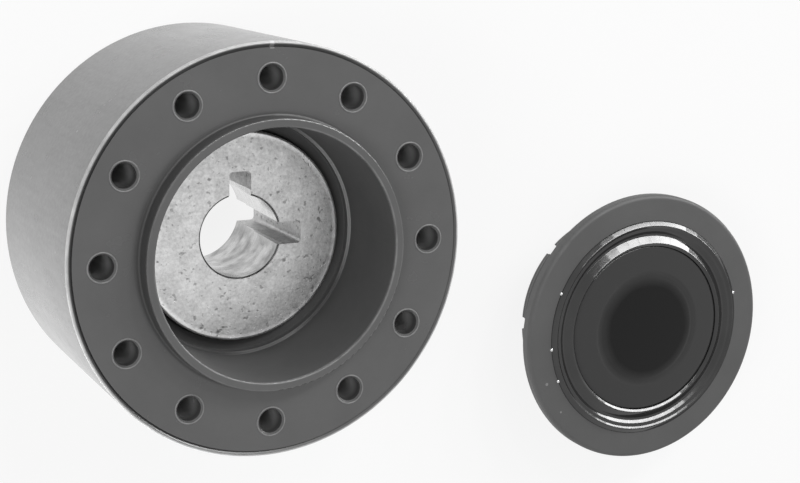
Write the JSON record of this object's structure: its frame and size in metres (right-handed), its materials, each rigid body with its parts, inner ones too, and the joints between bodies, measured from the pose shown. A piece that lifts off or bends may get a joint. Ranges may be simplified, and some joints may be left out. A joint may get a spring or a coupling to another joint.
{
  "type": "boat steering wheel hub",
  "caption": "Round moulded hub that carries a boat's steering wheel on a tapered helm shaft, with its snap-in centre cap laid beside it.",
  "frame": {"origin": "on the steering shaft's axis, in the plane of the hub's back, where the shaft comes in", "axes": "+Z along the shaft axis to the steering wheel, +Y to the keyway at 12 o'clock, +X to the keyway at 3 o'clock"},
  "size_m": [0.1851, 0.1089, 0.05],
  "materials": {
    "hub_plastic": "satin moulded",
    "insert_metal": "as cast",
    "cap_plastic": "matt moulded",
    "bezel_gloss": "polished",
    "disc_gloss": "polished"
  },
  "bodies": {
    "root": {"hub_body": "hub_plastic", "shaft_insert": "insert_metal", "cap_body": "cap_plastic", "cap_bezel": "bezel_gloss", "cap_disc": "disc_gloss"}
  },
  "joints": []
}
